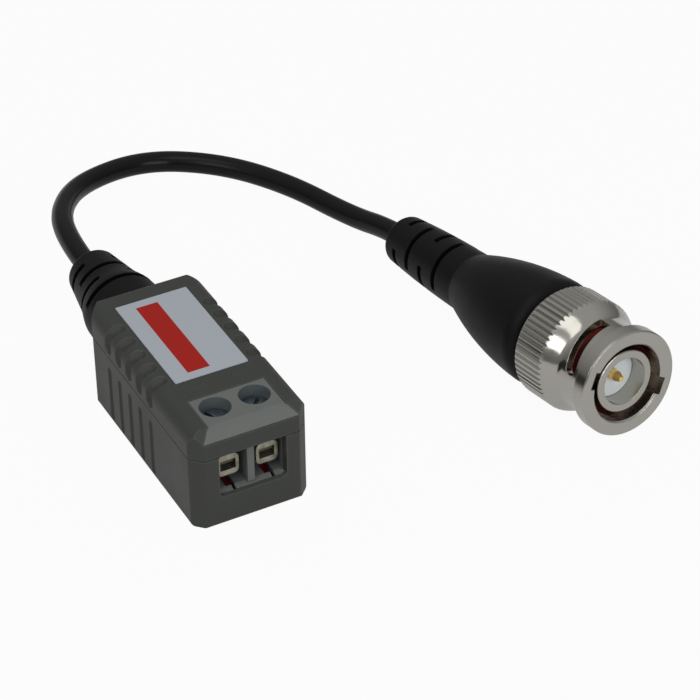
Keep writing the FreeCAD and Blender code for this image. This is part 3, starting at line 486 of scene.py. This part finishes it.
def make_wave_spring():
    """The wave washer, which sits against the plug's flange, as a piece of its own with its own mesh, carried
    with the housing.
    """
    spring = bpy.data.objects.new("wave_spring", bpy.data.objects["wave_washer"].data.copy())
    bpy.context.scene.collection.objects.link(spring)
    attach(spring, "housing")
    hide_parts("wave_washer")
    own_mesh(spring)
    return spring


# Cord

def make_cord(jacket, spring):
    """The pigtail as one smooth curve from the housing's relief into the plug's boot."""
    curve = bpy.data.curves.new("pigtail_cord", "CURVE")
    curve.dimensions = "3D"
    curve.resolution_u = CORD_STEPS
    curve.bevel_depth = CORD_DIAMETER / 2
    curve.bevel_resolution = CORD_ROUNDNESS
    spline = curve.splines.new("NURBS")
    spline.points.add(len(CORD_ROUTE) - 1)
    for point, place in zip(spline.points, CORD_ROUTE):
        point.co = (*[c * MM for c in place], 1)
    spline.order_u = 3
    spline.use_endpoint_u = True
    cord = bpy.data.objects.new("pigtail_cord", curve)
    bpy.context.scene.collection.objects.link(cord)
    cord.data.materials.append(jacket)
    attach(cord, "housing")
    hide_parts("cord")


# Studio

def white_to_camera(tree, lit_surface, output):
    """Shows white to the camera and to mirrors in their shares, and keeps the rest lit and shaded."""
    rays = tree.nodes.new("ShaderNodeLightPath").outputs
    seen = computed(tree, "MULTIPLY", rays["Is Camera Ray"], CAMERA_WHITE)
    mirrored = computed(tree, "MULTIPLY", rays["Is Glossy Ray"], MIRROR_WHITE)
    passed = computed(tree, "MULTIPLY", rays["Is Transmission Ray"], CAMERA_WHITE)
    most = computed(tree, "MAXIMUM", computed(tree, "MAXIMUM", seen, mirrored), passed)
    white = tree.nodes.new("ShaderNodeEmission")
    mix = tree.nodes.new("ShaderNodeMixShader")
    tree.links.new(most, mix.inputs["Fac"])
    tree.links.new(lit_surface, mix.inputs[1])
    tree.links.new(white.outputs["Emission"], mix.inputs[2])
    tree.links.new(mix.outputs["Shader"], output.inputs["Surface"])


def make_floor():
    mesh = bpy.data.meshes.new("studio_floor")
    corners = [(x * FLOOR_REACH, y * FLOOR_REACH, 0) for x, y in ((-1, -1), (1, -1), (1, 1), (-1, 1))]
    mesh.from_pydata(corners, [], [(0, 1, 2, 3)])
    floor = bpy.data.objects.new("studio_floor", mesh)
    bpy.context.scene.collection.objects.link(floor)
    material, tree, shader = new_material("studio_white")
    shader.inputs["Base Color"].default_value = (*FLOOR_GREY, 1)
    shader.inputs["Roughness"].default_value = FLOOR_ROUGHNESS
    white_to_camera(tree, shader.outputs["BSDF"], tree.nodes["Material Output"])
    mesh.materials.append(material)


def make_world():
    """Soft light that grows from the horizon upwards, and plain white where the camera sees it."""
    world = bpy.data.worlds.new("studio_world")
    bpy.context.scene.world = world
    world.use_nodes = True
    tree = world.node_tree
    background = tree.nodes["Background"]
    background.inputs["Color"].default_value = (1, 1, 1, 1)
    direction = separated(tree, tree.nodes.new("ShaderNodeTexCoord").outputs["Generated"])
    strength = mapped(tree, direction["Z"], SKY_HEIGHTS, (HORIZON_LIGHT, ZENITH_LIGHT))
    tree.links.new(strength, background.inputs["Strength"])
    white = tree.nodes.new("ShaderNodeBackground")
    rays = tree.nodes.new("ShaderNodeLightPath").outputs
    mix = tree.nodes.new("ShaderNodeMixShader")
    tree.links.new(rays["Is Camera Ray"], mix.inputs["Fac"])
    tree.links.new(background.outputs["Background"], mix.inputs[1])
    tree.links.new(white.outputs["Background"], mix.inputs[2])
    tree.links.new(mix.outputs["Shader"], tree.nodes["World Output"].inputs["Surface"])


def make_lights():
    for name, size, power, place in LAMPS:
        light = bpy.data.lights.new(name, "AREA")
        light.shape = "RECTANGLE"
        light.size, light.size_y = size
        light.energy = power
        holder = bpy.data.objects.new(name, light)
        bpy.context.scene.collection.objects.link(holder)
        holder.location = place
        direction = Vector(LAMP_TARGET) - Vector(place)
        holder.rotation_euler = direction.to_track_quat("-Z", "Y").to_euler()


def make_camera():
    """The photo's camera, from its angles round the target."""
    azimuth = math.radians(CAMERA_AZIMUTH)
    elevation = math.radians(CAMERA_ELEVATION)
    roll = math.radians(CAMERA_ROLL)
    back = Vector((
        math.sin(azimuth) * math.cos(elevation),
        -math.cos(azimuth) * math.cos(elevation),
        math.sin(elevation),
    ))
    right = (-back).cross(Vector((0, 0, 1))).normalized()
    up = right.cross(-back)
    rolled_right = right * math.cos(roll) + up * math.sin(roll)
    rolled_up = -right * math.sin(roll) + up * math.cos(roll)
    data = bpy.data.cameras.new("camera")
    data.lens = CAMERA_LENS
    data.sensor_width = SENSOR_WIDTH
    data.clip_start = CAMERA_NEAR
    camera = bpy.data.objects.new("camera", data)
    bpy.context.scene.collection.objects.link(camera)
    turn = Matrix((rolled_right, rolled_up, back)).transposed().to_4x4()
    camera.matrix_world = Matrix.Translation(Vector(CAMERA_TARGET) + back * CAMERA_DISTANCE) @ turn
    bpy.context.scene.camera = camera


worn = dress_nodes()
make_cord(worn["cord"], make_wave_spring())
make_floor()
make_world()
make_lights()
make_camera()
bpy.context.scene.view_settings.view_transform = "Standard"
